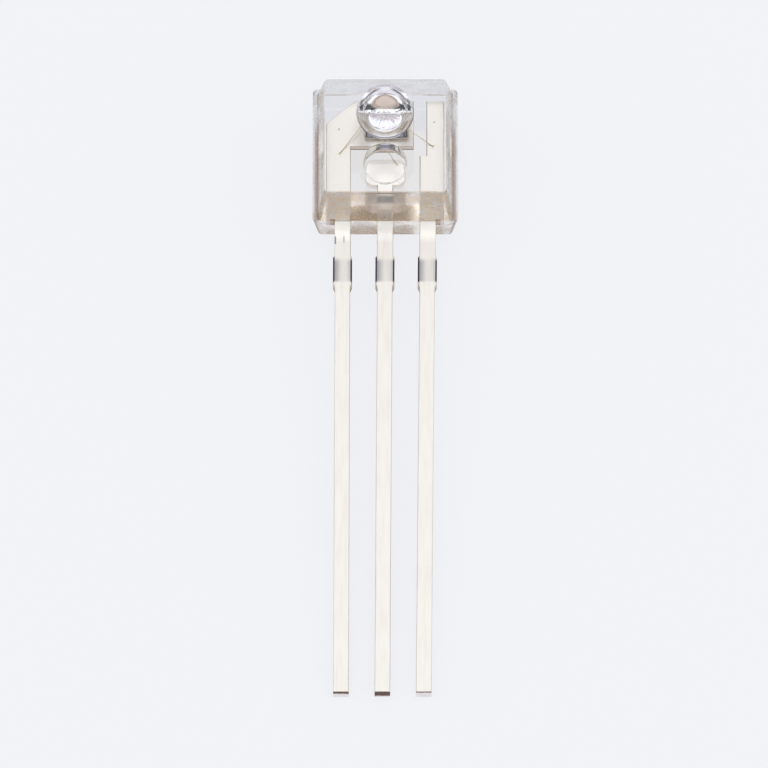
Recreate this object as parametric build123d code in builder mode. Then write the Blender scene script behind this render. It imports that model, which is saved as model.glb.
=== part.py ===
"""Side-looking photo IC: a clear moulded package with an integral lens, on three straight leads.

Frame: +Z is the way the lens looks, the leads point along -Y and +X is to the right seen from
the front. The origin is the centre of the package's rear face. All sizes are in millimetres.
"""

import os

from build123d import *

# --- package: two drafted halves that meet at the parting line -------------------------------
body_width = 4.35  # across the parting line
body_height = 4.40  # along the leads, at the parting line
rear_depth = 1.45  # rear face to parting line
front_depth = 1.40  # parting line to front face
rear_side_draft = 0.15  # how far each wall leans in from the parting line to the rear face
rear_bottom_draft = 0.26
rear_top_draft = 0.03
side_ledge = 0.125  # step where the narrower front half stands on the rear half
top_ledge = 0.10
front_side_draft = 0.225  # how far each wall leans in from its foot to the front face
front_bottom_draft = 0.28
front_top_draft = 0.25
corner_radius = 0.14  # upright corners of the package
face_edge_radius = 0.04  # round the front and the rear face

# --- lens: half a ball on a short seat, over the die ------------------------------------------
lens_radius = 0.83
lens_seat = 0.05  # straight wall between the front face and the dome
lens_offset = 0.717  # lens axis above the middle of the package

# --- mould mark: a shallow round dish in the front face, below the lens -----------------------
mark_radius = 0.64
mark_depth = 0.34
mark_floor_radius = 0.06
mark_offset = -0.944  # its axis, from the middle of the package

# --- leads, outside the package ---------------------------------------------------------------
pitch = 1.27
lead_thickness = 0.40
lead_width = 0.48  # from the package to the dam bar
lead_tip_width = 0.455  # past the dam bar
lead_length = 15.27  # package to cut tip
stub_start = 1.15  # package to the sheared dam-bar stub
stub_length = 0.89
stub_width = 0.57
lead_lean = 0.085  # sideways drift of all three tips, towards -X
toe_in = 0.06  # how far each outer tip leans towards the middle one

# --- lead frame, inside the package -----------------------------------------------------------
side_cover = 0.41  # plastic beside the outer posts, at the parting line
top_cover = 0.675  # plastic above the frame, at the parting line
frame_gap = 0.38  # gap between neighbouring pieces of the frame
right_post_width = 0.53
right_step_drop = 0.33  # foot of the die pad to the step where the right post widens
die_pad_length = 1.50
corner_cut_across = 0.855  # the slanted corner of the die pad
corner_cut_down = 0.75
centre_pad_width = 1.20
centre_pad_length = 0.905
centre_pad_radius = 0.24
shoulder_cover = 0.10  # plastic between the outer posts' shoulders and the outside

# --- die --------------------------------------------------------------------------------------
die_width = 1.25
die_length = 1.09
die_thickness = 0.25
die_shift_x = 0.04  # die centre from the lens axis
die_shift_y = 0.06
attach_thickness = 0.03
attach_margin = 0.05  # glue squeezed out beyond the die on each side

# --- bond wires -------------------------------------------------------------------------------
wire_radius = 0.012
ball_radius = 0.045
ball_height = 0.025
wire_rise = 0.14  # straight up from the ball before the wire turns over
wire_bend = 0.05
stitch_radius = 0.04
stitch_height = 0.02
ball_inset = 0.10  # ball centre to the die's edge
left_ball_rise = 0.125  # balls from the middle of the die
centre_ball_shift = 0.30
right_ball_drop = 0.225
left_stitch_drop = 0.235  # below the foot of the die pad
left_stitch_shift = 0.08  # outwards from the left lead's centre line
centre_stitch_drop = 0.155  # below the top of the centre pad
centre_stitch_shift = 0.35
right_stitch_inset = 0.19  # from the right post's inner edge
right_stitch_drop = 0.005  # below the foot of the die pad

# --- worked out from the sizes above ----------------------------------------------------------
front_z = rear_depth + front_depth
lens_z = front_z + lens_seat
exit_y = -body_height / 2  # where the leads leave the package
tip_y = exit_y - lead_length
stub_top_y = exit_y - stub_start
stub_bottom_y = stub_top_y - stub_length
lead_front_z = rear_depth  # the leads' front face lies in the parting plane
lead_rear_z = lead_front_z - lead_thickness

post_outer_x = body_width / 2 - side_cover
frame_top_y = body_height / 2 - top_cover
shoulder_y = exit_y + shoulder_cover
left_post_inner_x = -(pitch - lead_width / 2)
right_post_inner_x = pitch - lead_width / 2
right_post_upper_x = post_outer_x - right_post_width
die_pad_right_x = right_post_upper_x - frame_gap
die_pad_bottom_y = frame_top_y - die_pad_length
centre_pad_top_y = die_pad_bottom_y - frame_gap
centre_pad_bottom_y = centre_pad_top_y - centre_pad_length
right_step_y = die_pad_bottom_y - right_step_drop

die_x = die_shift_x
die_y = lens_offset + die_shift_y
die_bottom_z = lead_front_z + attach_thickness
die_top_z = die_bottom_z + die_thickness


def lead_side(centre_x, side, bend):
    """One long edge of a lead as points from the package to the tip.

    side is -1 for the left edge and 1 for the right one. bend is how far the tip has drifted
    in X; the drift grows in proportion to the distance from the package.
    """
    widths = [
        (exit_y, lead_width),
        (stub_top_y, lead_width),
        (stub_top_y, stub_width),
        (stub_bottom_y, stub_width),
        (stub_bottom_y, lead_tip_width),
        (tip_y, lead_tip_width),
    ]
    return [
        (centre_x + bend * (exit_y - y) / lead_length + side * width / 2, y)
        for y, width in widths
    ]


def lead_blade(centre_x, bend):
    """The lead outside the package, closed across its tip: points from left exit to right exit."""
    return lead_side(centre_x, -1, bend) + lead_side(centre_x, 1, bend)[::-1]


def frame_piece(outline, rounded=(), radius=0.0):
    """A flat piece of the lead frame from its outline; the points in rounded get the radius."""
    with BuildPart() as piece:
        with BuildSketch(Plane.XY.offset(lead_rear_z)) as profile:
            with BuildLine():
                Polyline(*outline, close=True)
            make_face()
            if rounded:
                corners = [
                    vertex
                    for vertex in profile.vertices()
                    if any(abs(vertex.X - x) + abs(vertex.Y - y) < 1e-6 for x, y in rounded)
                ]
                fillet(corners, radius)
        extrude(amount=lead_thickness)
    return piece.part


# --- left lead: its post carries the die pad --------------------------------------------------
left_outline = lead_blade(-pitch, toe_in - lead_lean) + [
    (left_post_inner_x, die_pad_bottom_y),
    (die_pad_right_x, die_pad_bottom_y),
    (die_pad_right_x, frame_top_y),
    (-post_outer_x + corner_cut_across, frame_top_y),
    (-post_outer_x, frame_top_y - corner_cut_down),
    (-post_outer_x, shoulder_y),
    (-pitch - lead_width / 2, shoulder_y),
]
lead_left = frame_piece(left_outline)

# --- centre lead: a rounded landing pad below the die -----------------------------------------
centre_corners = [
    (centre_pad_width / 2, centre_pad_bottom_y),
    (centre_pad_width / 2, centre_pad_top_y),
    (-centre_pad_width / 2, centre_pad_top_y),
    (-centre_pad_width / 2, centre_pad_bottom_y),
]
centre_outline = (
    lead_blade(0, -lead_lean)
    + [(lead_width / 2, centre_pad_bottom_y)]
    + centre_corners
    + [(-lead_width / 2, centre_pad_bottom_y)]
)
lead_centre = frame_piece(centre_outline, centre_corners, centre_pad_radius)

# --- right lead: a post that narrows beside the die pad ---------------------------------------
right_outline = lead_blade(pitch, -toe_in - lead_lean) + [
    (pitch + lead_width / 2, shoulder_y),
    (post_outer_x, shoulder_y),
    (post_outer_x, frame_top_y),
    (right_post_upper_x, frame_top_y),
    (right_post_upper_x, right_step_y),
    (right_post_inner_x, right_step_y),
]
lead_right = frame_piece(right_outline)

# --- glue layer and die -----------------------------------------------------------------------
with BuildPart() as attach:
    with BuildSketch(Plane.XY.offset(lead_front_z)):
        with Locations((die_x, die_y)):
            Rectangle(die_width + 2 * attach_margin, die_length + 2 * attach_margin)
    extrude(amount=attach_thickness)

with BuildPart() as die:
    with BuildSketch(Plane.XY.offset(die_bottom_z)):
        with Locations((die_x, die_y)):
            Rectangle(die_width, die_length)
    extrude(amount=die_thickness)


def bond_wire(start, end):
    """A gold wire from a ball on the die to a stitch on the lead frame, in one upright plane.

    start and end are (x, y). The wire climbs from the ball, turns over and runs down straight.
    """
    foot = Vector(start[0], start[1], die_top_z)
    run = Vector(end[0] - start[0], end[1] - start[1], 0)
    upright = Plane(origin=foot, x_dir=run, z_dir=run.cross(Vector(0, 0, 1)))
    landing_z = lead_front_z + wire_radius - die_top_z
    with BuildPart() as wire:
        with BuildLine(upright) as route:
            FilletPolyline(
                (0, ball_height / 2),
                (0, ball_height + wire_rise),
                (run.length, landing_z),
                radius=wire_bend,
            )
        with BuildSketch(Plane(origin=route.line @ 0, z_dir=route.line % 0)):
            Circle(wire_radius)
        sweep()
        with BuildSketch(Plane.XY.offset(die_top_z)):
            with Locations(start):
                Circle(ball_radius)
        extrude(amount=ball_height)
        with BuildSketch(Plane.XY.offset(lead_front_z)):
            with Locations(end):
                Circle(stitch_radius)
        extrude(amount=stitch_height)
    return wire.part


# --- bond wires: from the die's rim to the nearest bare metal of each lead ---------------------
left_ball = (die_x - die_width / 2 + ball_inset, die_y + left_ball_rise)
centre_ball = (die_x - centre_ball_shift, die_y - die_length / 2 + ball_inset)
right_ball = (die_x + die_width / 2 - ball_inset, die_y - right_ball_drop)
left_stitch = (-pitch - left_stitch_shift, die_pad_bottom_y - left_stitch_drop)
centre_stitch = (centre_stitch_shift, centre_pad_top_y - centre_stitch_drop)
right_stitch = (right_post_upper_x + right_stitch_inset, die_pad_bottom_y - right_stitch_drop)

wire_left = bond_wire(left_ball, left_stitch)
wire_centre = bond_wire(centre_ball, centre_stitch)
wire_right = bond_wire(right_ball, right_stitch)

inner_pieces = {
    "lead_left": lead_left,
    "lead_centre": lead_centre,
    "lead_right": lead_right,
    "die_attach": attach.part,
    "photo_ic_die": die.part,
    "bond_wire_left": wire_left,
    "bond_wire_centre": wire_centre,
    "bond_wire_right": wire_right,
}


# --- package: moulded round all of the above in one shot ---------------------------------------
def package_outline(height, side_inset, bottom_inset, top_inset):
    """The package's outline at one height, set in from its largest outline by each inset."""
    with BuildSketch(Plane.XY.offset(height)) as outline:
        with Locations((0, (bottom_inset - top_inset) / 2)):
            RectangleRounded(
                body_width - 2 * side_inset,
                body_height - bottom_inset - top_inset,
                corner_radius,
            )
    return outline.sketch


rear_face = package_outline(0, rear_side_draft, rear_bottom_draft, rear_top_draft)
parting_face = package_outline(rear_depth, 0, 0, 0)
front_foot = package_outline(rear_depth, side_ledge, 0, top_ledge)
front_face = package_outline(
    front_z, side_ledge + front_side_draft, front_bottom_draft, top_ledge + front_top_draft
)

with BuildPart() as package:
    loft([rear_face, parting_face], ruled=True)
    loft([front_foot, front_face], ruled=True)
    faces_by_height = package.faces().filter_by(Axis.Z).sort_by(Axis.Z)
    fillet(faces_by_height[0].edges() + faces_by_height[-1].edges(), face_edge_radius)

    with BuildSketch(Plane.XY.offset(front_z)):
        with Locations((0, lens_offset)):
            Circle(lens_radius)
    extrude(amount=lens_seat)
    with Locations((0, lens_offset, lens_z)):
        Sphere(lens_radius)

    with BuildSketch(Plane.XY.offset(front_z)):
        with Locations((0, mark_offset)):
            Circle(mark_radius)
    extrude(amount=-mark_depth, mode=Mode.SUBTRACT)
    floor_edge = [
        edge
        for edge in package.edges().filter_by(GeomType.CIRCLE)
        if abs(edge.radius - mark_radius) < 1e-6 and abs(edge.center().Z - front_z + mark_depth) < 1e-6
    ]
    fillet(floor_edge, mark_floor_radius)

    for piece in inner_pieces.values():
        add(piece, mode=Mode.SUBTRACT)

pieces = {"package": package.part, **inner_pieces}

os.makedirs("parts", exist_ok=True)
for name, piece in pieces.items():
    piece.label = name
    export_step(piece, f"parts/{name}.step")
    print(f"{name}: {len(piece.solids())} solid(s), {piece.volume:.5f} mm3")
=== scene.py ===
# %% [markdown]
# # A side-looking photo IC in Blender
# The part is a light detector with its amplifier on one silicon die, moulded into clear epoxy with
# a ball lens on the front, on three flat plated leads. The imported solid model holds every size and
# place. It could be shown as it is, but its triangles are coarse, and in clear plastic each one
# shows. So this notebook loads it, makes each piece again as a finely drawn surface, and gives each
# one the finish of the real material.

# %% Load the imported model
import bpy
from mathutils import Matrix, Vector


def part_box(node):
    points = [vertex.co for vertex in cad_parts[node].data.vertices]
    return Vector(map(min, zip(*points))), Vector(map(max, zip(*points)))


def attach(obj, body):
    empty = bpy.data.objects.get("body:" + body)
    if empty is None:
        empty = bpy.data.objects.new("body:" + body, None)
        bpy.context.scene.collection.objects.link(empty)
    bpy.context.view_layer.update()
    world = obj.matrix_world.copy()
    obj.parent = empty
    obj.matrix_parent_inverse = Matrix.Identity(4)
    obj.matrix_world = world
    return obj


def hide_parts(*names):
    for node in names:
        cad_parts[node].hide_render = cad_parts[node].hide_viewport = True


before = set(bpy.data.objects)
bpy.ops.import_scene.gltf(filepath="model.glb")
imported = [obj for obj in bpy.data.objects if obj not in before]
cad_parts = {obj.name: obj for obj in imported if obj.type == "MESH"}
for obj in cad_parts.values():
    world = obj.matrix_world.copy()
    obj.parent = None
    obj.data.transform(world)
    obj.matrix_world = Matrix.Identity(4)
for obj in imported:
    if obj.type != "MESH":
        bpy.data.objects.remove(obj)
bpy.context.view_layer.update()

# %% Imports and units
import math

import bmesh
import bpy
import numpy as np
from mathutils import Vector
from mathutils.geometry import delaunay_2d_cdt

MM = 0.001  # one millimetre in Blender's metres
print("Blender", bpy.app.version_string, "works in metres, and this notebook in millimetres")

# %% [markdown]
# ## Sizes
# Every size could be typed in where it is used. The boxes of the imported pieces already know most
# of them, so they are read from there, and the drawn surfaces can't drift away from the solids.
# What a box can't say, such as the radius of an edge, is named once, in millimetres.

# %% Sizes of the package
def box_mm(node):
    """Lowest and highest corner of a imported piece, in millimetres."""
    low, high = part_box(node)
    return np.array(low) / MM, np.array(high) / MM


package_high = box_mm("package")[1]
half_width, half_height = package_high[:2]
lens_radius = 0.83
lens_seat = 0.05  # straight stretch under the half ball
lens_y = 0.717
front_z = package_high[2] - lens_radius - lens_seat
parting_z = box_mm("lead_centre")[1][2]  # the mould closed on the front of the leads
corner_radius = 0.14  # of the upright corners
face_edge_radius = 0.04  # where the walls meet the rear and the front face
parting_edge_radius = 0.012  # the mould is sharp where its halves meet
mark_radius = 0.64  # the moulded dish below the lens
mark_depth = 0.34
mark_floor_radius = 0.06
mark_y = -0.944
print(f"package {2 * half_width:.2f} x {2 * half_height:.2f} mm, front face at {front_z:.2f} mm")

# %% [markdown]
# ## Building surfaces with numpy
# The real pieces are moulded, stamped, sawn and drawn, so each has one section that is carried
# along a line or round an axis. They could be modelled by hand with extrusions and bevels. Here
# every piece is one or more grids of points: a grid's rows are levels of a profile and its columns
# run round a loop. So a few whole-array helpers serve the package, the leads, the die and the
# wires, and every edge gets its real radius.

# %% Faces of a grid
def grid_faces(rows, columns, first=0):
    """Quads between neighbouring rows of a grid whose columns close on themselves."""
    row = np.arange(rows - 1)[:, None] * columns
    column = np.arange(columns)[None, :]
    beside = (column + 1) % columns
    corners = [row + column, row + beside, row + columns + beside, row + columns + column]
    return (np.stack(corners, -1).reshape(-1, 4) + first).tolist()


def fan(row_start, columns, pole):
    """Triangles from a loop to the point at its middle."""
    column = np.arange(columns)
    around = row_start + (column + 1) % columns
    return np.stack([row_start + column, around, np.full(columns, pole)], 1).tolist()


print("3 rows of 4 points make", len(grid_faces(3, 4)), "quads and a fan of", len(fan(8, 4, 12)))

# %% Rounded corners
def corner_turns(steps):
    """Angle and quarter of each point round a loop: (+x, +y), (-x, +y), (-x, -y), (+x, -y)."""
    turn = np.linspace(0, math.pi / 2, steps + 1)
    angle = (np.arange(4)[:, None] * math.pi / 2 + turn).ravel()
    side_x = np.repeat([1, -1, -1, 1], steps + 1)
    side_y = np.repeat([1, 1, -1, -1], steps + 1)
    return angle, side_x, side_y


def rounded_bend(before, corner, after, radius, steps):
    """An arc of that radius, tangent to the two lines that meet at corner, as steps + 1 points.

    The centre lies on the line that halves the corner; the points turn evenly from one tangent
    point to the other, as sin((1 - t) w) start + sin(t w) end, over sin(w).
    """
    before, corner, after = (np.array(point, float) for point in (before, corner, after))
    back = (before - corner) / np.linalg.norm(before - corner)
    ahead = (after - corner) / np.linalg.norm(after - corner)
    half = math.acos(np.clip(back @ ahead, -1, 1)) / 2
    middle = back + ahead
    centre = corner + middle / np.linalg.norm(middle) * radius / math.sin(half)
    start = corner + back * radius / math.tan(half) - centre
    end = corner + ahead * radius / math.tan(half) - centre
    sweep = math.acos(np.clip(start @ end / radius**2, -1, 1))
    t = np.linspace(0, 1, steps + 1)[:, None]
    return centre + (np.sin((1 - t) * sweep) * start + np.sin(t * sweep) * end) / math.sin(sweep)


def revolved(profile, centre_x, centre_y, around):
    """(radius, height) pairs turned about an upright axis: x = r cos a, y = r sin a."""
    angle = np.linspace(0, 2 * math.pi, around, endpoint=False)
    radius, height = profile[:, :1], profile[:, 1:]
    x = centre_x + radius * np.cos(angle)
    y = centre_y + radius * np.sin(angle)
    return np.stack([x, y, np.broadcast_to(height, x.shape)], -1)


print("middle of a 1 mm round on a square corner:", rounded_bend((1, 0), (0, 0), (0, 1), 1, 2)[1])

# %% [markdown]
# ### From points to an object
# Points could be given to Blender's own primitives and moved there. A mesh filled from arrays is
# simpler: its object stays at the origin, unturned, so a pattern in object coordinates is measured
# in the same millimetres as the part. Doubled points are merged, which closes poles and seams. The
# edges that don't join exactly two faces are counted, because clear plastic needs a closed skin.

# %% A mesh object from arrays
def make_piece(name, points, faces, flat=(), materials=(), material_of=(), fields=None):
    """A mesh object at the origin from points in millimetres.

    flat lists the faces that lie in one plane: they keep their own normal, so that the rounded
    edges beside them don't bend the light that crosses them. fields holds arrays of three numbers
    for each point, which the materials read by name.
    """
    mesh = bpy.data.meshes.new(name)
    mesh.from_pydata((np.asarray(points) * MM).tolist(), [], faces)
    smooth = np.ones(len(faces), bool)
    smooth[list(flat)] = False
    mesh.polygons.foreach_set("use_smooth", smooth)
    for material in materials:
        mesh.materials.append(material)
    if len(material_of):
        mesh.polygons.foreach_set("material_index", np.asarray(material_of, np.int32))
    for key, values in (fields or {}).items():
        field = mesh.attributes.new(key, "FLOAT_VECTOR", "POINT")
        field.data.foreach_set("vector", np.asarray(values, np.float32).ravel())
    work = bmesh.new()
    work.from_mesh(mesh)
    bmesh.ops.remove_doubles(work, verts=work.verts, dist=2e-8)
    work.to_mesh(mesh)
    odd_edges = sum(not edge.is_manifold for edge in work.edges)
    work.free()
    mesh.update()
    piece = bpy.data.objects.new(name, mesh)
    bpy.context.scene.collection.objects.link(piece)
    print(f"{name}: {len(mesh.vertices)} points, {len(mesh.polygons)} faces, {odd_edges} odd edges")
    return piece


def smooth_step(value, low, high):
    """0 below low, 1 above high, and 3t^2 - 2t^3 between them."""
    t = np.clip((value - low) / (high - low), 0, 1)
    return t * t * (3 - 2 * t)


print("a smooth step is", smooth_step(0.25, 0, 1), "a quarter of the way up")

# %% [markdown]
# ## Materials
# A material is a small graph of nodes. It could be drawn in the shader editor, but a graph that is
# written down can be read and changed. One function adds a node, sets it and links it. Colours are
# written as the sRGB hex values that a colour picker shows, and turned to linear light once.

# %% Nodes and colours
def linear(code):
    """Linear RGBA from an sRGB hex value."""
    srgb = np.array([int(code[i : i + 2], 16) / 255 for i in (1, 3, 5)])
    value = np.where(srgb <= 0.04045, srgb / 12.92, ((srgb + 0.055) / 1.055) ** 2.4)
    return (*value.tolist(), 1.0)


def add(tree, kind, inputs=None, stops=(), **settings):
    """A node of that kind. inputs holds numbers and colours, or the sockets to link from.

    stops are the stops of a colour ramp, as rising pairs of a position and an sRGB hex value.
    """
    node = tree.nodes.new(kind)
    for key, value in settings.items():
        setattr(node, key, value)
    for key, value in (inputs or {}).items():
        if isinstance(value, bpy.types.NodeSocket):
            tree.links.new(value, node.inputs[key])
        else:
            node.inputs[key].default_value = value
    for index, (position, code) in enumerate(stops):
        ready = node.color_ramp.elements
        stop = ready[index] if index < len(ready) else ready.new(position)
        stop.position, stop.color = position, linear(code)
    return node


def new_material(name, **sockets):
    """A material with those values on its shader: its tree, its shader and places in mm."""
    material = bpy.data.materials.new(name)
    material.use_nodes = True
    tree = material.node_tree
    tree.nodes.clear()
    shader = add(tree, "ShaderNodeBsdfPrincipled")
    for key, value in sockets.items():
        shader.inputs[key.replace("_", " ")].default_value = value
    add(tree, "ShaderNodeOutputMaterial", {"Surface": shader.outputs[0]})
    place = add(tree, "ShaderNodeTexCoord").outputs["Object"]
    place = add(tree, "ShaderNodeVectorMath", {0: place, 1: (1 / MM,) * 3}, operation="MULTIPLY")
    return material, tree, shader, place.outputs[0]


def finished(material):
    """The same material, after its name and its number of nodes are printed."""
    print(f"{material.name}: {len(material.node_tree.nodes)} nodes")
    return material


print("middle grey #808080 is", round(linear("#808080")[0], 3), "in linear light")

# %% [markdown]
# ### Masks
# Stains, tracks and bare patches could be painted on an image. The real ones have sizes and places
# on the part, so each is a mask instead: a number from 0 to 1 worked out from the place in
# millimetres. It stays sharp at any distance, and moves when the size that it hangs on moves.

# %% Zones, spots and layers
def zone(tree, place, centre, half, edge=0.003):
    """1 in a rectangle, 0 outside it: max(|x - cx| - hx, |y - cy| - hy) taken across its edge."""
    offset = add(tree, "ShaderNodeVectorMath", {0: place, 1: (*centre, 0)}, operation="SUBTRACT")
    away = add(tree, "ShaderNodeVectorMath", {0: offset.outputs[0]}, operation="ABSOLUTE")
    past = add(tree, "ShaderNodeVectorMath", {
        0: away.outputs[0], 1: (*half, 0)
    }, operation="SUBTRACT").outputs[0]
    side = add(tree, "ShaderNodeSeparateXYZ", {0: past}).outputs
    most = add(tree, "ShaderNodeMath", {0: side["X"], 1: side["Y"]}, operation="MAXIMUM").outputs[0]
    return add(tree, "ShaderNodeMapRange", {
        "Value": most, "From Min": -edge, "From Max": edge, "To Min": 1.0, "To Max": 0.0
    }).outputs[0]


def spot(tree, place, centre, radius, edge=0.01):
    """1 inside a ball, 0 outside it: the distance from its centre taken across its edge."""
    away = add(tree, "ShaderNodeVectorMath", {0: place, 1: centre}, operation="DISTANCE")
    return add(tree, "ShaderNodeMapRange", {
        "Value": away.outputs["Value"],
        "From Min": radius - edge,
        "From Max": radius + edge,
        "To Min": 1.0,
        "To Max": 0.0,
    }).outputs[0]


def overlap(tree, masks):
    """The product of the masks, which is 1 only where every one of them is."""
    shared = masks[0]
    for mask in masks[1:]:
        shared = add(tree, "ShaderNodeMath", {0: shared, 1: mask}, operation="MULTIPLY").outputs[0]
    return shared


def layered(tree, colour, layers):
    """A colour with each (mask, sRGB code or socket) of the layers laid over it in turn."""
    for mask, upper in layers:
        upper = linear(upper) if isinstance(upper, str) else upper
        colour = add(tree, "ShaderNodeMix", {
            "Factor": mask, 6: colour, 7: upper
        }, data_type="RGBA").outputs[2]
    return colour


print("zone and spot make a mask, overlap joins masks, and layered paints with them")

# %% [markdown]
# ### Clear epoxy
# The package is transfer-moulded optical epoxy, whose refractive index is 1.53. Its lens and front
# face copy a polished tool. The drafted walls copy a spark-eroded tool, whose fine craters scatter
# the light that crosses them, so the walls look frosted and blotchy beside the clear front. A volume
# could make the plastic cloudy, but it is clear inside and dull only at its skin. So three finishes
# share one body, and they differ in roughness and in the tints on them. Most of these tints are
# painted light and shade: tan light from the frame on the bottom wall, shade at the walls' feet and
# on the rear face, and a glint.

# %% Polished epoxy
epoxy_look = dict(Base_Color=linear("#FEFEFE"), Transmission_Weight=1.0, IOR=1.53)
dust = [((-1.38, 0.168, 2.85), 0.03), ((1.46, 0.405, 2.85), 0.025), ((-0.94, -0.3, 2.85), 0.012)]


def polished_epoxy():
    """Where the tool was polished: clear, apart from a few specks of dust under the skin."""
    material, tree, shader, place = new_material(
        "polished_clear_epoxy", Roughness=0.0, **epoxy_look
    )
    layers = [(spot(tree, place, centre, radius), "#6E655C") for centre, radius in dust]
    colour = layered(tree, linear("#FEFEFE"), layers)
    tree.links.new(colour, shader.inputs["Base Color"])
    return material


polished = finished(polished_epoxy())

# %% Frost left by the spark-eroded tool
patches_per_mm = 2.2  # rougher patches, nearly half a millimetre across
craters_per_mm = 14.0  # real craters are finer still, and are drawn as coarse as they can show
smoothest, roughest = 0.16, 0.34


def frost(tree, place):
    """Roughness that wanders from patch to patch, and a normal with shallow craters in it."""
    patches = add(tree, "ShaderNodeTexNoise", {
        "Vector": place, "Scale": patches_per_mm, "Detail": 3.0
    })
    roughness = add(tree, "ShaderNodeMapRange", {
        "Value": patches.outputs[0],
        "From Min": 0.35,
        "From Max": 0.65,
        "To Min": smoothest,
        "To Max": roughest,
    })
    craters = add(tree, "ShaderNodeTexNoise", {
        "Vector": place, "Scale": craters_per_mm, "Detail": 2.0
    })
    bump = add(tree, "ShaderNodeBump", {
        "Height": craters.outputs[0], "Strength": 0.04, "Distance": 0.01 * MM
    })
    return roughness.outputs[0], bump.outputs[0]


print(f"craters {1 / craters_per_mm:.2f} mm across, in patches of {1 / patches_per_mm:.2f} mm")

# %% Tints on the moulded walls, most of them painted light and shade
bottom_wall_y = (-1.86, -1.94)  # from just above the bottom wall to just on it
foot_x = 2.05  # the foot of each side wall's front half, where shade is painted
blotches_per_mm = 5.0  # the tint breaks up into blotches a fifth of a millimetre across
lead_exits_x = (-1.27, 0, 1.27)


def wall_masks(tree, place):
    """A blotchy tint on the bottom wall, painted frame light on its front half, painted shade at the
    walls' feet, and (x, z) on that wall.
    """
    part = add(tree, "ShaderNodeSeparateXYZ", {0: place}).outputs
    outward = add(tree, "ShaderNodeMath", {0: part["X"]}, operation="ABSOLUTE").outputs[0]
    inward = add(tree, "ShaderNodeMath", {0: outward, 1: foot_x}, operation="SUBTRACT").outputs[0]
    from_foot = add(tree, "ShaderNodeMath", {0: inward}, operation="ABSOLUTE").outputs[0]
    low, front, foot, lower = (
        add(tree, "ShaderNodeMapRange", {
            "Value": value, "From Min": start, "From Max": end
        }).outputs[0]
        for value, start, end in (
            (part["Y"], *bottom_wall_y),
            (part["Z"], parting_z - 0.02, parting_z - 0.01),
            (from_foot, 0.085, 0.045),
            (part["Y"], 1.6, 0.6),
        )
    )
    level = overlap(tree, (part["Z"], low))  # 0 off the bottom wall, where no zone then lies
    on_wall = add(tree, "ShaderNodeCombineXYZ", {"X": part["X"], "Y": level}).outputs[0]
    blotch_noise = add(tree, "ShaderNodeTexNoise", {
        "Vector": place, "Scale": blotches_per_mm, "Detail": 8.0
    })
    blotched = add(tree, "ShaderNodeMapRange", {
        "Value": blotch_noise.outputs[0], "From Min": 0.38, "From Max": 0.58, "To Min": 0.2, "To Max": 1.0
    }).outputs[0]
    tint_blotches = overlap(tree, (low, blotched))
    return tint_blotches, overlap(tree, (tint_blotches, front)), overlap(tree, (foot, front, lower)), on_wall


print(f"stains {1 / blotches_per_mm:.2f} mm across, and tan rings at x =", lead_exits_x)

# %% Frosted epoxy
def frosted_epoxy():
    """Where the tool was spark-eroded: craters too fine to see one by one, in rougher patches.

    The bottom wall has a blotchy tint. On its front half the blotches are tan, painted light from
    the frame behind it, and painted shade darkens the foot of the front half.
    """
    material, tree, shader, place = new_material("frosted_clear_epoxy", **epoxy_look)
    roughness, craters = frost(tree, place)
    tree.links.new(roughness, shader.inputs["Roughness"])
    tree.links.new(craters, shader.inputs["Normal"])
    tint_blotches, front_frame_light, foot_shade, on_wall = wall_masks(tree, place)
    layers = [
        # a blotchy tint over the bottom wall, and over its front half a tan of painted light from
        # the frame
        (tint_blotches, "#E9DDDC"),
        (front_frame_light, "#FEE2BC"),
        (zone(tree, on_wall, (0.05, 2.12), (0.75, 0.6), 0.25), "#DCC8B8"),  # painted light from the frame, on the front of the bottom wall
        # painted shade at the foot of the side walls
        (foot_shade, "#A38A7E"),
        # painted light from the leads, a tan square round each place where one leaves the bottom
        # wall
        *[(zone(tree, on_wall, (x, 1.2), (0.27, 0.27), 0.03), "#E3C49C") for x in lead_exits_x],
        (zone(tree, on_wall, (0, 2.50), (0.28, 0.19), 0.07), "#6A6664"),  # a dark patch on the bottom wall
        (spot(tree, place, (0.89, -1.95, 2.72), 0.12, 0.05), "#FEFEFE"),  # a painted glint, white over the tints
        (spot(tree, place, (1.231, 1.957, 2.25), 0.035, 0.02), "#A8A5A6"),  # marks on the top wall
        (spot(tree, place, (-0.51, 1.97, 2.15), 0.04, 0.03), "#DCC9A6"),
        (spot(tree, place, (-1.4, 1.98, 2.1), 0.2, 0.15), "#EEECEE"),
    ]
    tree.links.new(layered(tree, linear("#FEFEFE"), layers), shader.inputs["Base Color"])
    return material


frosted = finished(frosted_epoxy())

# %% Epoxy of the rear face
rear_low, rear_high = "#D9D5D1", "#CECFD3"  # painted shade: warm grey below, cooler grey above


def rear_epoxy():
    """The flat rear face: clear, with painted shade from a warm grey low down to a cooler one above,
    for the shadow on the floor seen through it.
    """
    material, tree, shader, place = new_material("rear_clear_epoxy", Roughness=0.02, **epoxy_look)
    height = add(tree, "ShaderNodeSeparateXYZ", {0: place}).outputs["Y"]
    upper = add(tree, "ShaderNodeMapRange", {
        "Value": height, "From Min": 0.2, "From Max": 1.7
    }, interpolation_type="SMOOTHSTEP").outputs[0]
    # painted shade of the shadowed floor seen through the rear face
    colour = layered(tree, linear(rear_low), [(upper, rear_high)])
    tree.links.new(colour, shader.inputs["Base Color"])
    return material


rear = finished(rear_epoxy())

# %% [markdown]
# ## The package
# Two drafted halves meet at the parting line, and the front half is a little narrower, which
# leaves a ledge at the sides and the top. A box with bevels and Boolean cuts would give the form,
# but Booleans leave long thin triangles, and clear plastic shows each one as a crease of light. So
# each wall is a profile of (inset, height) pairs, and the outline at each level is a rounded
# rectangle that takes its sides from those profiles. The front face has two round holes in it: the
# dome of the lens closes one and the moulded dish the other.

# %% Wall profiles
bend_steps, line_steps = 6, 4  # points round a face's edge, and round an edge of the ledge


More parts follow.
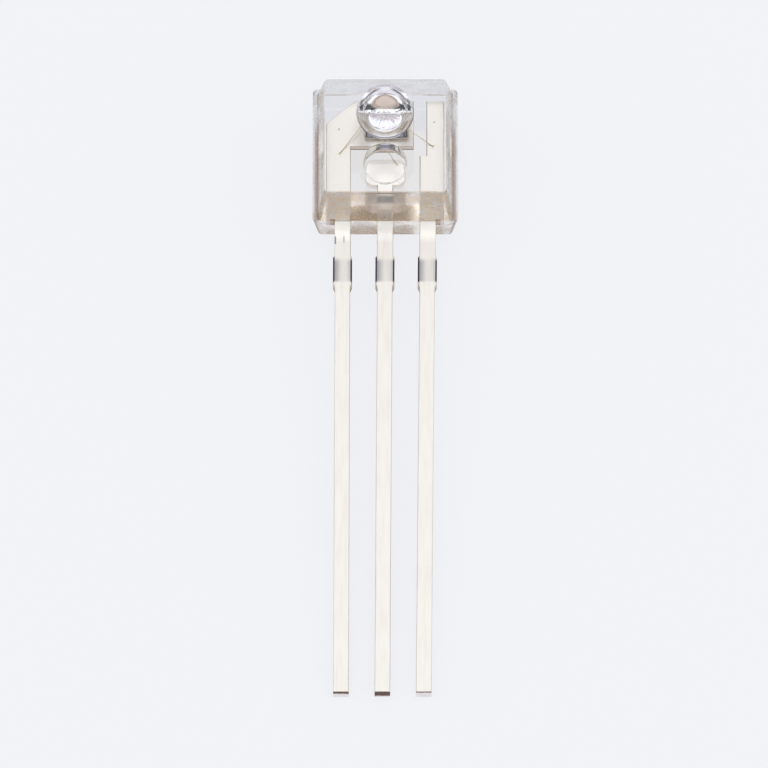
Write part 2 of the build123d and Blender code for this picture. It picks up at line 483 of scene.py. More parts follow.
def wall_profile(rear_draft, ledge, front_draft):
    """Up one wall: round the rear face, the parting line, the ledge's foot and the front face."""
    rear_edge, parting = (rear_draft, 0), (0, parting_z)
    foot, front_edge = (ledge, parting_z), (ledge + front_draft, front_z)
    sharp = min(parting_edge_radius, 0.4 * ledge)  # both bends have to fit on the ledge
    inward = half_width
    return np.vstack([
        rounded_bend((inward, 0), rear_edge, parting, face_edge_radius, bend_steps),
        rounded_bend(rear_edge, parting, foot, sharp, line_steps),
        rounded_bend(parting, foot, front_edge, sharp, line_steps),
        rounded_bend(foot, front_edge, (inward, front_z), face_edge_radius, bend_steps),
    ])


side_wall = wall_profile(rear_draft=0.15, ledge=0.125, front_draft=0.225)
top_wall = wall_profile(rear_draft=0.03, ledge=0.10, front_draft=0.25)
bottom_wall = wall_profile(rear_draft=0.26, ledge=0.01, front_draft=0.27)
rear_end = bend_steps  # last level of each bend, going up
parting_end = rear_end + line_steps + 1
ledge_end = parting_end + line_steps + 1
print("each wall has", len(side_wall), "levels")

# %% Package shell
corner_steps = 10
angle, side_x, side_y = corner_turns(corner_steps)
end_wall = np.where(side_y[None, :, None] > 0, top_wall[:, None], bottom_wall[:, None])
at_rear = np.arange(len(side_wall)) <= rear_end
face_inset = np.where(at_rear, side_wall[rear_end, 0], side_wall[ledge_end + 1, 0])
shrink = np.clip(side_wall[:, 0] - face_inset, 0, None)
loop_radius = (corner_radius - shrink)[:, None]
shell_x = side_x * (half_width - side_wall[:, :1] - loop_radius) + loop_radius * np.cos(angle)
shell_y = side_y * (half_height - end_wall[..., 0] - loop_radius) + loop_radius * np.sin(angle)
across = np.cos(angle) ** 2
shell_z = side_wall[:, 1:] * across + end_wall[..., 1] * (1 - across)
shell = np.stack([shell_x, shell_y, shell_z], -1)
shell_rows, shell_columns = shell.shape[:2]
shell_faces = grid_faces(shell_rows, shell_columns)
flat_rows = (rear_end, parting_end, ledge_end)  # rear wall, ledge and front wall
flat_columns = np.arange(4) * (corner_steps + 1) + corner_steps
shell_flat = [row * shell_columns + column for row in flat_rows for column in flat_columns]
print("shell of", shell_rows, "loops with", shell_columns, "points each")

# %% Lens and dish
around = 128
root_radius, root_steps = 0.04, 6
lens_top = np.linspace(0, math.pi / 2, 65)
half_ball = [lens_radius * np.cos(lens_top), front_z + lens_seat + lens_radius * np.sin(lens_top)]
outward, upward = (lens_radius + 1, front_z), (lens_radius, front_z + 1)
root = rounded_bend(outward, (lens_radius, front_z), upward, root_radius, root_steps)
lens_profile = np.vstack([root, np.stack(half_ball, 1)])
lens = revolved(lens_profile[:-1], 0, lens_y, around)
lens_pole = np.array([[0, lens_y, lens_profile[-1, 1]]])

rim_radius = 0.02
floor_ring = 0.3  # a loop on the dish's floor, so that the fan at its middle stays small
mark_floor = front_z - mark_depth
rim, floor_edge = (mark_radius, front_z), (mark_radius, mark_floor)
mark_profile = np.vstack([
    rounded_bend((mark_radius + 1, front_z), rim, floor_edge, rim_radius, 5),
    rounded_bend(rim, floor_edge, (0, mark_floor), mark_floor_radius, 8),
    [[floor_ring, mark_floor]],
])
mark = revolved(mark_profile, 0, mark_y, around)
mark_pole = np.array([[0, mark_y, mark_floor]])
print(f"lens tip at {lens_profile[-1, 1]:.2f} mm, dish floor at {mark_floor:.2f} mm")


# %% Front face with its two holes
def plate_with_holes(outline, holes, height):
    """Triangles between an outline and the round holes in it, all in one level plane.

    A triangle is in a hole when its middle is clearly nearer to the hole's centre than the hole's
    points are. Slivers a micrometre wide, just inside the rims, stay; they lie flat in the face and
    don't show, but they are why the package has odd edges.
    """
    loops = [outline, *holes]
    starts = np.cumsum([0] + [len(loop) for loop in loops])
    edges = np.vstack([
        start + np.stack([np.arange(len(loop)), np.roll(np.arange(len(loop)), -1)], 1)
        for start, loop in zip(starts, loops)
    ]).tolist()
    flat_points = list(map(Vector, np.vstack(loops)))
    points, _, triangles = delaunay_2d_cdt(flat_points, edges, [], 0, 1e-7)[:3]
    points = np.array([(point.x, point.y) for point in points])
    triangles = np.array(triangles)
    middle = points[triangles].mean(1)
    inside = np.zeros(len(triangles), bool)
    for hole in holes:
        centre = hole.mean(0)
        clearly_nearer = 0.999 * np.hypot(*(hole[0] - centre))
        inside |= np.hypot(*(middle - centre).T) < clearly_nearer
    points = np.column_stack([points, np.full(len(points), height)])
    return points, triangles[~inside].tolist()


plate, plate_faces = plate_with_holes(shell[-1, :, :2], [lens[0, :, :2], mark[0, :, :2]], front_z)
print("front face of", len(plate_faces), "triangles")

# %% One closed package
package_points = np.vstack([
    shell.reshape(-1, 3), lens.reshape(-1, 3), lens_pole, mark.reshape(-1, 3), mark_pole, plate
])
lens_start = shell_rows * shell_columns
lens_rows = len(lens_profile) - 1
mark_start = lens_start + lens_rows * around + 1
mark_rows = len(mark_profile)
plate_start = mark_start + mark_rows * around + 1
lens_faces = grid_faces(lens_rows, around, lens_start)
lens_faces += fan(mark_start - 1 - around, around, mark_start - 1)
mark_faces = grid_faces(mark_rows, around, mark_start)
mark_faces += fan(plate_start - 1 - around, around, plate_start - 1)
rear_face = [list(range(shell_columns))[::-1]]
front_faces = (np.array(plate_faces) + plate_start).tolist()
round_faces = shell_faces + lens_faces + mark_faces
package_faces = round_faces + rear_face + front_faces
flat_faces = shell_flat + list(range(len(round_faces), len(package_faces)))

# %% Its three finishes
finish_of = np.zeros(len(package_faces), int)  # 0 polished, 1 frosted, 2 rear
finish_of[: len(shell_faces)] = 1
finish_of[: rear_end * shell_columns] = 2
finish_of[len(shell_faces) : len(shell_faces) + (root_steps + 1) * around] = 1
finish_of[len(round_faces)] = 2
package = make_piece(
    "epoxy_package", package_points, package_faces, flat_faces, [polished, frosted, rear], finish_of
)
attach(package, "root")
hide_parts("package")

# %% [markdown]
# ## Plated strip
# The leads are stamped from iron-alloy strip and plated with silver, which looks cream-white and
# soft. The plating was put on before the tie bar between the leads was cut away, so the sheared
# stubs and the cut tips show dark bare metal. On the stubs, painted shade darkens their sides
# further and greys their faces, and painted light whitens the plating near the package. Each patch
# could be a material of its own, with faces cut to fit it. Here one material reads a field on the
# mesh, called strip, that says how far each point lies across the lead, below the package and in
# from the nearer edge. So the patterns follow the metal, and their borders can be soft.

# %% Bands below the package
stub_start = 1.15  # from the package down to the rest of the tie bar
stub_length = 0.89


def bands(tree, below):
    """Masks by the distance below the package: outside it, near it, and right beside it."""
    return [
        add(tree, "ShaderNodeMapRange", {
            "Value": below, "From Min": start, "From Max": end, "To Min": low, "To Max": 1 - low
        }).outputs[0]
        for start, end, low in ((-0.02, 0.02, 0.0), (0.35, 0.7, 1.0), (0.2, 0.35, 1.0))
    ]


def stub_bands(tree, below):
    """Masks by the distance below the package: past the stub's start, and before its end."""
    stub_end = stub_start + stub_length
    starts = add(tree, "ShaderNodeMapRange", {
        "Value": below, "From Min": stub_start + 0.02, "From Max": stub_start + 0.22
    }, interpolation_type="SMOOTHSTEP")
    ends = add(tree, "ShaderNodeMapRange", {
        "Value": below,
        "From Min": stub_end - 0.09,
        "From Max": stub_end - 0.01,
        "To Min": 1.0,
        "To Max": 0.0,
    })
    return starts.outputs[0], ends.outputs[0]


print(f"the tie bar's stub runs from {stub_start:.2f} to {stub_start + stub_length:.2f} mm")

# %% The face of the strip
streaks_per_mm = (9.0, 0.9, 9.0)  # rolling draws the grain of the strip out along the lead
stub_middle_shade = 0.22  # how much painted shade the stub's middle gets, from 0 to 1
shear_slope = -0.2  # the bare band starts 0.2 mm higher for each mm to the left
shear_band = (0.035, 0.06)  # it ends between these distances in from the side


def drawn_silver(tree, place, near, outside):
    """Silver streaked along the lead, whiter near the package with painted light, and one plain tone
    inside it.
    """
    drawn = add(tree, "ShaderNodeVectorMath", {0: place, 1: streaks_per_mm}, operation="MULTIPLY")
    streaks = add(tree, "ShaderNodeTexNoise", {
        "Vector": drawn.outputs[0], "Scale": 1.0, "Detail": 4.0
    })
    tone = add(tree, "ShaderNodeValToRGB", {
        "Fac": streaks.outputs[0]
    }, stops=[(0.3, "#ECE8E2"), (0.6, "#F2EFEA")])
    # painted light: the plating near the package is whiter
    whiter = layered(tree, tone.outputs[0], [(near, "#FFFEFB")])
    return layered(tree, linear("#ECE8E3"), [(outside, whiter)])


def painted_stub_shade(tree, across, starts, ends):
    """Painted shade on the stub's face, which reflects darker surroundings: a little in its middle,
    more toward its two sides.
    """
    shades = [
        add(tree, "ShaderNodeMapRange", {
            "Value": across,
            "From Min": middle,
            "From Max": side,
            "To Min": stub_middle_shade,
            "To Max": most,
        }, interpolation_type="SMOOTHSTEP").outputs[0]
        for middle, side, most in ((0.0, -0.25, 1.0), (0.08, 0.27, 0.6))
    ]
    shade = add(tree, "ShaderNodeMath", {0: shades[0], 1: shades[1]}, operation="MAXIMUM")
    return overlap(tree, (overlap(tree, (starts, ends)), shade.outputs[0]))


def sheared_sides(tree, across, below, edge, ends):
    """Bare metal where the tie bar was cut, with painted shade of the stub's sides over it: a narrow
    dark band at each side, with a sloping start.
    """
    slanting = add(tree, "ShaderNodeMath", {
        0: across, 1: shear_slope, 2: below
    }, operation="MULTIPLY_ADD")
    sheared_from = add(tree, "ShaderNodeMapRange", {
        "Value": slanting.outputs[0], "From Min": stub_start + 0.03, "From Max": stub_start + 0.10
    }).outputs[0]
    side = add(tree, "ShaderNodeMapRange", {
        "Value": edge,
        "From Min": shear_band[0],
        "From Max": shear_band[1],
        "To Min": 1.0,
        "To Max": 0.0,
    }).outputs[0]
    return overlap(tree, (sheared_from, side, ends))


print("streaks are", streaks_per_mm[0] / streaks_per_mm[1], "times as long as they are wide")

# %% The stamped edges of the strip
strip_thickness = 0.4
outermost_x = 1.65  # only the outer edges of the outer leads lie beyond it


def stamped_edge(tree, place, centre_pad):
    """A stamped edge: a dark line where it rolls over in front, smooth behind, and at the rear a
    dark line that is the torn zone with painted shade of the lower edge.
    """
    part = add(tree, "ShaderNodeSeparateXYZ", {0: place}).outputs
    depth = add(tree, "ShaderNodeMapRange", {
        "Value": part["Z"], "From Min": parting_z, "From Max": parting_z - strip_thickness
    })
    # the dark stop at the rear is the torn zone, with painted shade of the strip's lower edge
    tone = add(tree, "ShaderNodeValToRGB", {
        "Fac": depth.outputs[0]
    }, stops=[(0.04, "#8C7358"), (0.14, "#D9CCBC"), (0.72, "#C9B9A6"), (0.85, "#6B5340")])
    aside = add(tree, "ShaderNodeMath", {0: part["X"]}, operation="ABSOLUTE").outputs[0]
    outer = add(tree, "ShaderNodeMath", {
        0: aside, 1: outermost_x
    }, operation="GREATER_THAN").outputs[0]
    return layered(tree, tone.outputs[0], [(outer, "#F4EEE6"), (centre_pad, "#F6F0E8")])


print(f"the rolled-over edge is {0.14 * strip_thickness:.3f} mm deep")

# %% Silver-plated strip
grain_per_mm = 14.0  # matt silver's grain, drawn coarser than it is so that it shows
pad_middle, pad_half = (0, -0.98), (0.62, 0.48)  # the centre lead's pad


def plated_strip():
    """Matt silver: soft metal, chalky just below the package and whiter there with painted light,
    painted shade on the stubs, and dark where it was cut.
    """
    material, tree, shader, place = new_material("silver_plated_strip", Metallic=1.0)
    strip = add(tree, "ShaderNodeAttribute", attribute_name="strip").outputs["Vector"]
    part = add(tree, "ShaderNodeSeparateXYZ", {0: strip}).outputs
    across, below, edge = part["X"], part["Y"], part["Z"]
    outside, near, beside = bands(tree, below)
    starts, ends = stub_bands(tree, below)
    sheared_and_shaded = sheared_sides(tree, across, below, edge, ends)
    silver = drawn_silver(tree, place, near, outside)
    # painted shade on the stub, grey where its face reflects darker surroundings
    face = layered(tree, silver, [(painted_stub_shade(tree, across, starts, ends), "#A9A9AE")])

    facing = add(tree, "ShaderNodeNewGeometry").outputs["True Normal"]
    up = add(tree, "ShaderNodeSeparateXYZ", {0: facing}).outputs["Z"]
    upward = add(tree, "ShaderNodeMath", {0: up}, operation="ABSOLUTE").outputs[0]
    stamped, behind = (
        add(tree, "ShaderNodeMapRange", {
            "Value": value, "From Min": start, "From Max": end, "To Min": 1.0, "To Max": 0.0
        }).outputs[0]
        for value, start, end in ((upward, 0.2, 0.6), (up, -0.6, -0.2))
    )
    centre_pad = zone(tree, place, pad_middle, pad_half)
    colour = layered(tree, face, [
        (centre_pad, "#F8F5F1"),
        (zone(tree, place, (0, 1.55), (0.6, 0.2), 0.1), "#FFFFFF"),  # painted light: the plating is whiter where the lens looks
        (spot(tree, place, (0, 1.45, parting_z), 0.10, 0.02), "#E6D6CE"),
        (stamped, stamped_edge(tree, place, centre_pad)),
        (behind, "#CBBBA4"),
        # bare sheared metal, and painted shade of the stub's sides
        (sheared_and_shaded, "#4A3B40"),
        (zone(tree, place, (-1.231, -2.80), (0.008, 0.10), 0.015), "#5E544C"),  # two scratches
        (zone(tree, place, (-1.49, -2.83), (0.02, 0.12), 0.015), "#7A6E66"),
    ])
    tree.links.new(colour, shader.inputs["Base Color"])

    chalky = overlap(tree, (beside, outside))
    metallic = add(tree, "ShaderNodeMapRange", {"Value": chalky, "To Min": 1.0, "To Max": 0.2})
    far = add(tree, "ShaderNodeMath", {0: outside, 1: near}, operation="SUBTRACT", use_clamp=True)
    dull = add(tree, "ShaderNodeMath", {0: sheared_and_shaded, 1: far.outputs[0]}, operation="MAXIMUM")
    roughness = add(tree, "ShaderNodeMapRange", {
        "Value": dull.outputs[0], "To Min": 0.3, "To Max": 0.5
    })
    grain = add(tree, "ShaderNodeTexNoise", {"Vector": place, "Scale": grain_per_mm, "Detail": 3.0})
    bump = add(tree, "ShaderNodeBump", {
        "Height": grain.outputs[0], "Strength": 0.08, "Distance": 0.02 * MM
    })
    for node, socket in ((metallic, "Metallic"), (roughness, "Roughness"), (bump, "Normal")):
        tree.links.new(node.outputs[0], shader.inputs[socket])
    return material


plating = finished(plated_strip())

# %% Bare metal of the cut tips
dark_depth = 0.17  # how far the dark part reaches down on the left tip
tip_steps = ((-0.6, 0.15), (0.6, -0.23))  # past each x, how much deeper the next tip's part is
ragged_per_mm = 6.0  # the torn border wanders about every sixth of a millimetre
ragged_depth = 0.1


def cut_tip():
    """The tips were cut after plating: dark metal on top, where the blade began, smeared below."""
    material, tree, shader, place = new_material("cut_iron_alloy", Metallic=1.0, Roughness=0.45)
    part = add(tree, "ShaderNodeSeparateXYZ", {0: place}).outputs
    depth = dark_depth
    for start, change in tip_steps:
        past = add(tree, "ShaderNodeMath", {0: part["X"], 1: start}, operation="GREATER_THAN")
        depth = add(tree, "ShaderNodeMath", {
            0: past.outputs[0], 1: change, 2: depth
        }, operation="MULTIPLY_ADD").outputs[0]
    noise = add(tree, "ShaderNodeTexNoise", {
        "Vector": place, "Scale": ragged_per_mm, "Detail": 2.0
    })
    wander = add(tree, "ShaderNodeMath", {
        0: noise.outputs[0], 1: ragged_depth, 2: part["Z"]
    }, operation="MULTIPLY_ADD").outputs[0]
    down = add(tree, "ShaderNodeMath", {
        0: parting_z + ragged_depth / 2, 1: wander
    }, operation="SUBTRACT")
    deeper = add(tree, "ShaderNodeMath", {0: down.outputs[0], 1: depth}, operation="SUBTRACT")
    smeared = add(tree, "ShaderNodeMapRange", {
        "Value": deeper.outputs[0], "From Min": -0.03, "From Max": 0.03
    })
    colour = layered(tree, linear("#6A4E40"), [(smeared.outputs[0], "#F4F0F0")])
    tree.links.new(colour, shader.inputs["Base Color"])
    return material


bare_tip = finished(cut_tip())

# %% [markdown]
# ## The leads
# Each lead is one stamping: a pad or a post inside the package, and a blade outside it. It could
# be cut out of a plate, but then its edges would need bevels that meet at every inner corner. Here
# a rounded strip is carried along Y, with its left and right edge given at each station. Two
# stations at the same Y make a step, such as the foot of the die pad.

# %% Sizes of the leads
pitch = 1.27
lead_width = 0.48
tip_width = 0.455
stub_width = 0.57
blade_rounding = 0.03  # radius of the front edges
stub_rounding = 0.045  # what pressing adds to it on the stub
lead_lean = 0.085  # how far every tip is pushed to the left
toe_in = 0.06  # how far the outer tips are drawn toward the middle one
exit_y = -half_height
lead_low, lead_high = box_mm("lead_centre")
tip_y, lead_rear_z = lead_low[1:]
lead_length = exit_y - tip_y
print(f"leads of {lead_length:.2f} mm, {parting_z - lead_rear_z:.2f} mm thick")

# %% Sizes of the frame inside the package
post_outer, frame_top = box_mm("lead_right")[1][:2]
shoulder_y = exit_y + 0.10
right_post_upper = post_outer - 0.53
die_pad_right = box_mm("lead_left")[1][0]
die_pad_bottom = frame_top - 1.50
slant_in, slant_down = 0.855, 0.75  # the left post's upper corner is cut off at a slant
right_step = die_pad_bottom - 0.33
centre_pad_half, centre_pad_top = lead_high[:2]
centre_pad_bottom = centre_pad_top - 0.905
centre_pad_radius = 0.24
print(f"die pad {die_pad_right + post_outer:.2f} mm wide, centre pad {2 * centre_pad_half:.2f} mm")

# %% Stations along a lead
def blade_stations(centre, bend):
    """Stations of (y, left, right, front rounding) from the package to the cut tip."""
    stub_end = stub_start + stub_length
    y = np.concatenate([
        [exit_y],
        exit_y - np.linspace(stub_start - 0.12, stub_end + 0.3, 90),
        np.linspace(exit_y - stub_end - 0.4, tip_y + 0.02, 40),
        [tip_y],
    ])
    below = exit_y - y
    stub = smooth_step(below, stub_start - 0.03, stub_start + 0.03)
    stub *= 1 - smooth_step(below, stub_end - 0.02, stub_end + 0.17)
    width = lead_width + (tip_width - lead_width) * smooth_step(below, stub_start, stub_end)
    width = width + (stub_width - width) * stub
    middle = centre + bend * below / lead_length
    rounding = blade_rounding + stub_rounding * stub
    return np.column_stack([y, middle - width / 2, middle + width / 2, rounding])


def edges_at(pairs):
    """Inner stations of (y, left, right) with the plain rounding of a stamped edge."""
    return np.array([(y, left, right, 0.025) for y, left, right in pairs])


print("a blade has", len(blade_stations(0, 0)), "stations, most of them at the stub")

# %% Lead surface
edge_steps = 5
rear_rounding = 0.02


def lead_surface(stations):
    """Rounded rectangles across a lead, and its strip field: (across, below, in from the edge)."""
    y, left, right, front_radius = stations.T[:, :, None]
    angle, side_x, side_z = corner_turns(edge_steps)
    radius = np.where(side_z > 0, front_radius, rear_rounding)
    half_x, half_z = (right - left) / 2, (parting_z - lead_rear_z) / 2
    local_x = side_x * (half_x - radius) + radius * np.cos(angle)
    x = local_x + (left + right) / 2
    z = side_z * (half_z - radius) + radius * np.sin(angle) + (parting_z + lead_rear_z) / 2
    below = np.broadcast_to(exit_y - y, x.shape)
    points = np.stack([x, np.broadcast_to(y, x.shape), z], -1)
    return points, np.stack([local_x, below, half_x - abs(local_x)], -1)


def lead_piece(name, inner, centre, bend):
    """A lead from its inner stations, which run down to the package's edge, and its blade."""
    points, strip = lead_surface(np.vstack([inner, blade_stations(centre, bend)]))
    rows, columns = points.shape[:2]
    faces = grid_faces(rows, columns)
    columns_flat = np.arange(4) * (edge_steps + 1) + edge_steps
    flat = [row * columns + column for row in range(rows - 1) for column in columns_flat]
    faces += [list(range(columns))[::-1], list(range((rows - 1) * columns, rows * columns))]
    flat += [len(faces) - 2, len(faces) - 1]
    material_of = np.zeros(len(faces), int)
    material_of[-1] = 1  # the cut tip
    finishes, fields = [plating, bare_tip], {"strip": strip}
    piece = make_piece(name, points.reshape(-1, 3), faces, flat, finishes, material_of, fields)
    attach(piece, "root")
    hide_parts(name.replace("plated_", ""))
    return piece


# %% Left lead, with the die pad
left_inner = -pitch + lead_width / 2
lead_piece(
    "plated_lead_left",
    edges_at([
        (frame_top, -post_outer + slant_in, die_pad_right),
        (frame_top - slant_down, -post_outer, die_pad_right),
        (die_pad_bottom, -post_outer, die_pad_right),
        (die_pad_bottom, -post_outer, left_inner),
        (shoulder_y, -post_outer, left_inner),
        (shoulder_y, -pitch - lead_width / 2, left_inner),
    ]),
    -pitch,
    toe_in - lead_lean,
)

# %% Centre lead, with its round-cornered pad
turn = np.linspace(0, math.pi / 2, 9)
pad_curve = centre_pad_half - centre_pad_radius * (1 - np.sin(turn))
drop = centre_pad_radius * (1 - np.cos(turn))
top_curve = [(centre_pad_top - d, -w, w) for d, w in zip(drop, pad_curve)]
foot_curve = [(centre_pad_bottom + d, -w, w) for d, w in zip(drop, pad_curve)][::-1]
lead_piece(
    "plated_lead_centre",
    edges_at([*top_curve, *foot_curve, (centre_pad_bottom, -lead_width / 2, lead_width / 2)]),
    0,
    -lead_lean,
)

# %% Right lead, whose post narrows beside the die pad
right_inner = pitch - lead_width / 2
lead_piece(
    "plated_lead_right",
    edges_at([
        (frame_top, right_post_upper, post_outer),
        (right_step, right_post_upper, post_outer),
        (right_step, right_inner, post_outer),
        (shoulder_y, right_inner, post_outer),
        (shoulder_y, right_inner, pitch + lead_width / 2),
    ]),
    pitch,
    -toe_in - lead_lean,
)

# %% [markdown]
# ## The die
# The die is a sawn piece of silicon. Its top carries aluminium tracks and pads under a clear skin,
# with a dark photodiode under the lens. The lens gathers what the eye sees of the die into a small
# bright patch near the die's upper edge, where a broad aluminium track acts as a mirror. The skin
# over it is about as thick as a wavelength of light, so it tints the mirror faintly. The tracks
# could be thin boxes, but they stand less than a micrometre high. So they are masks on one flat
# face, and small leans of its normal stand in for the steps and dimples of the real surface.

# %% Places on the die
die_low, die_high = box_mm("photo_ic_die")
die_x, die_y = (die_low[:2] + die_high[:2]) / 2
die_half_x, die_half_y = (die_high[:2] - die_low[:2]) / 2
die_top_y = die_y + die_half_y
ball_inset = 0.10
left_ball = (die_x - die_half_x + ball_inset, die_y + 0.125)
centre_ball = (die_x - 0.30, die_y - die_half_y + ball_inset)
right_ball = (die_x + die_half_x - ball_inset, die_y - 0.225)
print(f"die {2 * die_half_x:.2f} x {2 * die_half_y:.2f} mm")

# %% Mirror, track and rim
block_width, block_height, line_width = 0.085, 0.04, 0.004  # of the amplifier's circuit
film_per_mm = 160.0  # the skin's colours change within micrometres, and the lens enlarges them


def mirror_masks(tree, place):
    """The matt beige rim at the top, the broad aluminium track, and the mirror at its edge."""
    rim = zone(tree, place, (die_x, die_top_y), (die_half_x, 0.0095), 0.002)
    track = zone(tree, place, (die_x, 1.18), (die_half_x - 0.03, 0.16))
    mirror = zone(tree, place, (-0.3, die_top_y), (0.27, 0.07), 0.004)
    for centre_x, half, edge in ((0.3, (0.27, 0.07), 0.004), (0, (0.028, 0.029), 0.003)):
        more = zone(tree, place, (centre_x, die_top_y), half, edge)
        mirror = add(tree, "ShaderNodeMath", {0: mirror, 1: more}, operation="MAXIMUM").outputs[0]
    return rim, track, mirror


def die_face(tree, place, rim, track, mirror):
    """Blocks of circuit, and over them the saw street, the tracks, the photodiode and the pads."""
    blocks = add(tree, "ShaderNodeTexBrick", {
        "Vector": place, "Color1": linear("#5A5A6A"), "Color2": linear("#74706A"),
        "Mortar": linear("#A6A2AE"), "Scale": 1.0, "Mortar Size": line_width, "Bias": 0.0,
        "Brick Width": block_width, "Row Height": block_height,
    })
    film = add(tree, "ShaderNodeTexNoise", {"Vector": place, "Scale": film_per_mm, "Detail": 2.0})
    tint = add(tree, "ShaderNodeValToRGB", {
        "Fac": film.outputs[0]
    }, stops=[(0.34, "#C9B4D0"), (0.45, "#F7F3F9"), (0.58, "#F3F2FB"), (0.68, "#BFDCEB")])
    beige = add(tree, "ShaderNodeValToRGB", {
        "Fac": film.outputs[0]
    }, stops=[(0.4, "#CDB6AE"), (0.6, "#E9D6C8")])
    sealed = zone(tree, place, (die_x, die_y + 0.02), (die_half_x - 0.035, die_half_y - 0.015))
    street = add(tree, "ShaderNodeMath", {0: 1.0, 1: sealed}, operation="SUBTRACT").outputs[0]
    return layered(tree, blocks.outputs[0], [
        (street, "#3C3E48"),
        (track, tint.outputs[0]),
        (mirror, "#EEF0F6"),
        (rim, beige.outputs[0]),
        (zone(tree, place, (die_x, die_y - die_half_y + 0.14), (0.36, 0.09)), "#D8D4DA"),  # a bus
        (zone(tree, place, (0, lens_y), (0.30, 0.30)), "#A9A6AC"),  # the photodiode's ring
        (zone(tree, place, (0, lens_y), (0.285, 0.285)), "#7C7A90"),
        *[
            (zone(tree, place, pad, (0.055, 0.055)), "#E4E2E4")
            for pad in (left_ball, centre_ball, right_ball)
        ],
    ])


print(f"the skin's colours change every {1000 / film_per_mm:.0f} micrometres")

# %% The die's slightly uneven face
ripples_per_mm = 250.0  # dimples over the lines of the circuit
ripple_sway = 0.06  # how far they turn the normal
leans = (  # how far a stretch of the track leans along Y, its centre, half size and soft border
    (0.06, (die_x, 1.10), (die_half_x, 0.155), 0.003),  # the whole track
    (0.12, (0, 1.10), (0.06, 0.155), 0.02),  # its crest, behind the middle of the lens
    (-0.17, (0, 1.278), (0.05, 0.019), 0.001),  # its far slope, at the die's upper edge
)


def uneven(tree, place, facing):
    """The face's normal with a little noise in it, leaned along Y by the stretches of the track."""
    ripple = add(tree, "ShaderNodeTexNoise", {
        "Vector": place, "Scale": ripples_per_mm, "Detail": 1.0
    })
    sway = add(tree, "ShaderNodeVectorMath", {
        0: ripple.outputs["Color"], 1: (0.5, 0.5, 0.5)
    }, operation="SUBTRACT").outputs[0]
    lean = 0.0
    for most, *stretch in leans:
        lean = add(tree, "ShaderNodeMath", {
            0: zone(tree, place, *stretch), 1: most, 2: lean
        }, operation="MULTIPLY_ADD").outputs[0]
    lean = add(tree, "ShaderNodeCombineXYZ", {"Y": lean}).outputs[0]
    swayed = add(tree, "ShaderNodeVectorMath", {
        0: sway, 1: (ripple_sway, ripple_sway, 0.0), 2: facing
    }, operation="MULTIPLY_ADD").outputs[0]
    leaned = add(tree, "ShaderNodeVectorMath", {0: swayed, 1: lean}, operation="ADD").outputs[0]
    return add(tree, "ShaderNodeVectorMath", {0: leaned}, operation="NORMALIZE").outputs[0]


print(f"dimples {1000 / ripples_per_mm:.0f} micrometres apart")

# %% Patterned silicon
grit_per_mm = 30.0  # chips that the saw's diamond grit left, each about 0.03 mm


def silicon():
    """Patterned silicon: mirror-like metal, dark photodiode, fine blocks of circuit, sawn sides."""
    material, tree, shader, place = new_material("patterned_silicon", Metallic=1.0)
    rim, track, mirror = mirror_masks(tree, place)
    facing = add(tree, "ShaderNodeNewGeometry").outputs["True Normal"]
    up = add(tree, "ShaderNodeSeparateXYZ", {0: facing}).outputs["Z"]
    sawn = add(tree, "ShaderNodeMapRange", {
        "Value": up, "From Min": 0.4, "From Max": 0.8, "To Min": 1.0, "To Max": 0.0
    }).outputs[0]
    grit = add(tree, "ShaderNodeTexNoise", {"Vector": place, "Scale": grit_per_mm, "Detail": 2.0})
    chipped = add(tree, "ShaderNodeValToRGB", {
        "Fac": grit.outputs[0]
    }, stops=[(0.4, "#A8A4A2"), (0.6, "#ECE9E6")])
    face = die_face(tree, place, rim, track, mirror)
    colour = layered(tree, face, [(sawn, chipped.outputs[0])])

    plain = add(tree, "ShaderNodeMath", {
        0: track, 1: mirror
    }, operation="SUBTRACT", use_clamp=True).outputs[0]
    matt = add(tree, "ShaderNodeMath", {0: plain, 1: rim}, operation="MAXIMUM").outputs[0]
    rough = add(tree, "ShaderNodeMath", {
        0: matt, 1: 0.3, 2: sawn
    }, operation="MULTIPLY_ADD", use_clamp=True).outputs[0]
    roughness = add(tree, "ShaderNodeMapRange", {"Value": rough, "To Min": 0.03, "To Max": 0.4})
    metallic = add(tree, "ShaderNodeMapRange", {"Value": rim, "To Min": 1.0, "To Max": 0.1})
    for output, socket in (
        (colour, "Base Color"),
        (metallic.outputs[0], "Metallic"),
        (roughness.outputs[0], "Roughness"),
        (uneven(tree, place, facing), "Normal"),
    ):
        tree.links.new(output, shader.inputs[socket])
    return material


patterned_silicon = finished(silicon())

# %% Slabs with a rounded outline
def slab(low, high, plan_radius, edge_radius, wobble=0.0):
    """A flat piece between two corners: a rounded rectangle whose upper edge is rounded too.

    wobble moves the outline in and out by that much, as two sine waves of the angle round it.
    """
    angle, side_x, side_y = corner_turns(8)
    turn = np.linspace(0, math.pi / 2, 6)[:, None]
    inset = np.vstack([[0], edge_radius * (1 - np.cos(turn))])
    z = np.vstack([[low[2]], high[2] - edge_radius + edge_radius * np.sin(turn)])
    half_x, half_y = (high[:2] - low[:2]) / 2
    radius = plan_radius + wobble * (np.sin(7 * angle) + np.sin(4 * angle + 1)) / 2
    x = side_x * (half_x - plan_radius - wobble) + (radius - inset) * np.cos(angle)
    y = side_y * (half_y - plan_radius - wobble) + (radius - inset) * np.sin(angle)
    x, y = x + (low[0] + high[0]) / 2, y + (low[1] + high[1]) / 2
    points = np.stack([x, y, np.broadcast_to(z, x.shape)], -1)
    rows, columns = x.shape
    faces = grid_faces(rows, columns)
    faces += [list(range(columns))[::-1], list(range((rows - 1) * columns, rows * columns))]
    return points.reshape(-1, 3), faces, [len(faces) - 2, len(faces) - 1]


